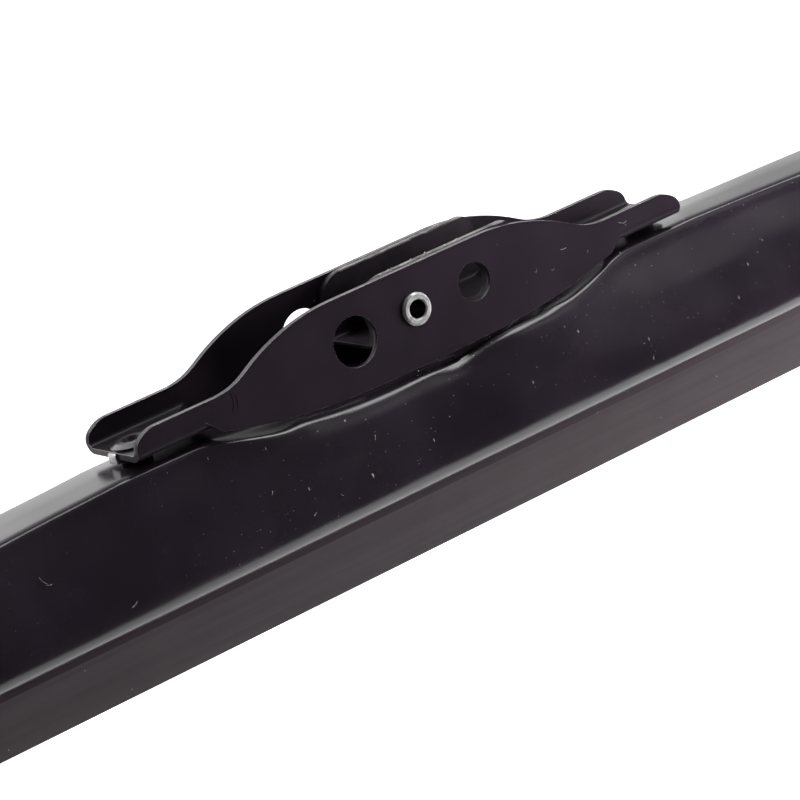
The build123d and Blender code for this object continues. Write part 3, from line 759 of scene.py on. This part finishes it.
class WIPER_OT_lint(bpy.types.Operator):
    """Hairs on the boot and saddle, scored lines and slivers, where the photograph has them."""
    bl_idname = "wiper.lint"
    bl_label = "Lint"

    # Each hair: place along the blade, height, turn in degrees, length in millimetres
    hairs = (
        (-61.1, -11.2, -60, 1.2), (-60.6, -11.9, -15, 0.7), (-11.9, -12.4, 75, 0.9),
        (20.0, -10.0, -16, 0.9), (16.0, -13.6, -20, 0.7), (12.2, -11.2, -35, 0.5),
        (-51.1, -18.4, 30, 1.0), (-28.3, -13.3, 60, 0.5), (-1.4, -18.6, 25, 0.5),
        (-17.4, -10.7, -10, 0.6), (9.9, -9.9, -40, 0.4), (-23.7, -18.0, 40, 0.5),
        (-19.3, -17.2, -50, 0.5),
    )
    # The same for hairs on the saddle's near wall
    wall_hairs = (
        (33.6, -0.9, -25, 0.7), (34.3, -1.1, 12, 0.6), (23.9, -0.9, -5, 0.9), (27.5, -2.6, 60, 0.3),
    )
    # Scored lines in the near wall's paint
    scores = ((-29.1, -1.1, 80, 2.6), (-28.5, -1.3, 86, 2.0))
    # Slivers rubbed up from the top of the adapter's near cheek
    slivers = (
        (-2.2, 5.62, 4, 1.6), (-0.6, 5.66, -12, 0.9), (1.3, 5.62, 6, 1.8), (4.2, 5.68, 35, 0.8),
        (4.6, 5.66, -30, 0.7), (8.5, 5.62, 3, 2.2),
    )

    def execute(self, context):
        material = lint_fibre(context.scene.blade_colours)
        radius = context.scene.blade_sizes.lint_radius
        scored = scratch_paint(context.scene.blade_colours)
        kinds = (
            ("lint", self.hairs, material, radius, self.skin_y, BLADE),
            ("wall_lint", self.wall_hairs, material, radius, self.wall_y, BLADE),
            ("score", self.scores, scored, radius, self.wall_y, BLADE),
            ("sliver", self.slivers, material, 2.5 * radius, self.cheek_y, ADAPTER),
        )
        for kind, hairs, finish, thickness, surface, body in kinds:
            for number, (x, z, turn, length) in enumerate(hairs, start=1):
                hair = self.lay_hair(f"{kind}_{number}", x, z, math.radians(turn), length, thickness,
                                     finish, surface)
                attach(hair, body)
        return {"FINISHED"}

    def lay_hair(self, name, x, z, turn, length, radius, material, surface):
        """One bent hair that follows the surface under it."""
        curve = bpy.data.curves.new(name, "CURVE")
        curve.dimensions = "3D"
        curve.bevel_depth = radius
        curve.bevel_resolution = 1
        curve.resolution_u = 4
        spline = curve.splines.new("NURBS")
        spline.points.add(4)
        for index, point in enumerate(spline.points):
            share = index / 4 - 0.5
            bend = 0.12 * length * (share * share * 4 - 0.5)
            here_x = x + length * share * math.cos(turn) - bend * math.sin(turn)
            here_z = z + length * share * math.sin(turn) + bend * math.cos(turn)
            y = surface(here_x, here_z) - radius / MM * 0.6
            point.co = (here_x * MM, y * MM, here_z * MM, 1.0)
        spline.order_u = 3
        spline.use_endpoint_u = True
        curve.materials.append(material)
        hair = bpy.data.objects.new(name, curve)
        bpy.context.scene.collection.objects.link(hair)
        return hair

    def wall_y(self, x, z):
        """Near side of the saddle."""
        return -SADDLE_HALF_WIDTH

    def cheek_y(self, x, z):
        """Middle of the adapter's near cheek."""
        return 0.5 * CHEEK_WALL - ADAPTER_HALF

    def skin_y(self, x, z):
        """Near side of the boot at a place along it and a height."""
        half = boot_half_outline(x, 0.0)
        for (y1, z1), (y2, z2) in zip(half, half[1:]):
            if z2 <= z <= z1 and z1 != z2:
                return -(y1 + (y2 - y1) * (z1 - z) / (z1 - z2))
        return -BOOT_BELLY_HALF


# Finishes of the carried-over nodes

class WIPER_OT_finishes(bpy.types.Operator):
    """Paint, steel, plastic and rubber on the pressed and moulded pieces."""
    bl_idname = "wiper.finishes"
    bl_label = "Finishes"

    def execute(self, context):
        colours = context.scene.blade_colours
        finishes = {
            "painted_steel": inner_paint(colours),
            "bright_steel": bright_steel(colours),
            "spring_steel": bright_steel(colours),
            "black_plastic": black_plastic(colours),
            "wiping_rubber": wiping_rubber(colours),
        }
        for part in frame["record"]["subparts"]:
            if part["material_slot"] in finishes:
                dress_node(part["node"], finishes[part["material_slot"]])
        # The pin's bore is painted near-black: painted shade in the hollow
        dress_node("centre_pin", bright_steel(colours, "pin_steel", PIN_BORE * MM, metallic=0.5))
        # The spacers under the tails take a darkened paint in place of their bare steel: painted shade
        # where they sit in the tails' shadow
        painted_shade_finish = inner_paint(colours, "spacer_painted_shade", share=0.3, specular=0.08)
        for word in ("left", "right"):
            dress_node(f"saddle_spacer_{word}", painted_shade_finish)
        return {"FINISHED"}


# Stage

class WIPER_OT_stage(bpy.types.Operator):
    """Floor, backdrop light, lamps and the camera at the photograph's angle."""
    bl_idname = "wiper.stage"
    bl_label = "Stage"

    def execute(self, context):
        stage = context.scene.blade_stage
        self.make_floor(stage)
        self.make_world(context.scene)
        self.make_lamps()
        self.make_camera(context.scene, stage)
        context.scene.view_settings.view_transform = "Standard"
        return {"FINISHED"}

    def make_floor(self, stage):
        """Wide pale floor under and behind the blade, white to the camera and in mirror images."""
        level = squeegee_low[2] - stage.floor_gap
        finish = Finish("floor_paper")
        grain = finish.ramp(finish.cloud(400), 0.93, 0.96, 0.3, 0.7)
        joined = finish.nodes.new("ShaderNodeCombineColor")
        for channel in ("Red", "Green", "Blue"):
            finish.join(grain, joined.inputs[channel])
        finish.colour(joined.outputs["Color"])
        finish.roughness(0.9)
        path = finish.nodes.new("ShaderNodeLightPath")
        mirrored = finish.math("MAXIMUM", path.outputs["Is Glossy Ray"],
                               path.outputs["Is Transmission Ray"])
        seen = finish.math("MULTIPLY", path.outputs["Is Camera Ray"], FLOOR_TO_CAMERA)
        strength = finish.math("ADD", seen, finish.math("MULTIPLY", mirrored, FLOOR_MIRRORED))
        glow = finish.nodes.new("ShaderNodeEmission")
        finish.join(strength, glow.inputs["Strength"])
        total = finish.nodes.new("ShaderNodeAddShader")
        finish.join(finish.shader.outputs["BSDF"], total.inputs[0])
        finish.join(glow.outputs["Emission"], total.inputs[1])
        finish.join(total.outputs["Shader"], finish.nodes["Material Output"].inputs["Surface"])
        mesh = bpy.data.meshes.new("floor")
        corners = [(-FLOOR_REACH, -FLOOR_FRONT, level), (FLOOR_REACH, -FLOOR_FRONT, level),
                   (FLOOR_REACH, FLOOR_REACH, level), (-FLOOR_REACH, FLOOR_REACH, level)]
        mesh.from_pydata(corners, [], [(0, 1, 2, 3)])
        mesh.materials.append(finish.material)
        floor = bpy.data.objects.new("floor", mesh)
        bpy.context.scene.collection.objects.link(floor)

    def make_world(self, scene):
        """White to the camera, and light on the blade that is graded from front to back."""
        world = bpy.data.worlds.new("studio")
        world.use_nodes = True
        scene.world = world
        graph = Graph(world.node_tree)
        background = graph.nodes["Background"]
        path = graph.nodes.new("ShaderNodeLightPath").outputs
        split = graph.nodes.new("ShaderNodeSeparateXYZ")
        graph.join(graph.nodes.new("ShaderNodeTexCoord").outputs["Generated"], split.inputs["Vector"])
        away = split.outputs["Y"]
        mirrored = graph.math("MAXIMUM", path["Is Glossy Ray"], path["Is Transmission Ray"])
        behind = graph.math("MULTIPLY", mirrored, graph.ramp(away, 0.0, 1.0, 0.4, 0.75))
        seen = graph.math("MAXIMUM", path["Is Camera Ray"], behind)
        graded = graph.ramp(away, 0.05, 1.0, -0.2, 0.75)
        graph.join(graph.math("MAXIMUM", seen, graded), background.inputs["Strength"])
        background.inputs["Color"].default_value = (1, 1, 1, 1)

    def make_lamps(self):
        """Soft boxes: two behind, two at the front right and a small one near the pin."""
        # Each lamp: name, place in metres, side in metres, power in watts
        lamps = (
            ("top_soft_box", (-0.25, 0.75, 0.95), 1.1, 9.0),
            ("back_strip", (0.45, 0.95, 0.33), 0.50, 0.6),
            ("key_box", (0.70, -0.40, 1.17), 0.50, 6.0),
            ("front_fill", (0.90, -0.90, 0.60), 0.50, 0.6),
            ("near_right_box", (0.24, -0.12, -0.02), 0.12, 1.6),
        )
        aim = Vector((0, 0, -0.012))
        for name, place, size, power in lamps:
            light = bpy.data.lights.new(name, "AREA")
            light.shape = "SQUARE"
            light.size = size
            light.energy = power
            lamp = bpy.data.objects.new(name, light)
            lamp.location = place
            lamp.rotation_euler = (aim - Vector(place)).to_track_quat("-Z", "Y").to_euler()
            # The near one would show as a bright patch in the boot
            lamp.visible_glossy = name != "near_right_box"
            bpy.context.scene.collection.objects.link(lamp)

    def make_camera(self, scene, stage):
        """Camera at the angle, roll and distance of the photograph."""
        cos_e, sin_e = math.cos(stage.elevation), math.sin(stage.elevation)
        cos_a, sin_a = math.cos(stage.azimuth), math.sin(stage.azimuth)
        back = Vector((sin_a * cos_e, -cos_a * cos_e, sin_e))
        level_right = Vector((cos_a, sin_a, 0))
        level_up = back.cross(level_right)
        right = level_right * math.cos(stage.roll) + level_up * math.sin(stage.roll)
        up = back.cross(right)
        turn = Matrix((right, up, back)).transposed().to_4x4()
        data = bpy.data.cameras.new("photo_camera")
        data.sensor_width = 36.0
        data.lens = stage.lens
        data.clip_start = 0.01
        data.clip_end = 20.0
        camera = bpy.data.objects.new("photo_camera", data)
        place = Vector(stage.aim) + back * stage.distance
        camera.matrix_world = Matrix.Translation(place) @ turn
        scene.collection.objects.link(camera)
        scene.camera = camera


class WIPER_PT_panel(bpy.types.Panel):
    """Lists the steps that finish the blade."""
    bl_label = "Wiper blade"
    bl_idname = "WIPER_PT_panel"
    bl_space_type = "VIEW_3D"
    bl_region_type = "UI"
    bl_category = "Wiper blade"

    def draw(self, context):
        for step in STEPS:
            self.layout.operator(step.bl_idname)


STEPS = (WIPER_OT_stage, WIPER_OT_boot, WIPER_OT_saddle, WIPER_OT_finishes, WIPER_OT_lint)
CLASSES = (BladeSizes, BladeColours, BladeStage, *STEPS, WIPER_PT_panel)


def register():
    """Register every class and hang the settings on the scene."""
    for item in CLASSES:
        bpy.utils.register_class(item)
    bpy.types.Scene.blade_sizes = PointerProperty(type=BladeSizes)
    bpy.types.Scene.blade_colours = PointerProperty(type=BladeColours)
    bpy.types.Scene.blade_stage = PointerProperty(type=BladeStage)


def unregister():
    """Take the settings and classes away again."""
    del bpy.types.Scene.blade_stage
    del bpy.types.Scene.blade_colours
    del bpy.types.Scene.blade_sizes
    for item in reversed(CLASSES):
        bpy.utils.unregister_class(item)


def main():
    """Run every step."""
    register()
    bpy.ops.wiper.stage()
    bpy.ops.wiper.boot()
    bpy.ops.wiper.saddle()
    bpy.ops.wiper.finishes()
    bpy.ops.wiper.lint()


if __name__ == "__main__":
    main()
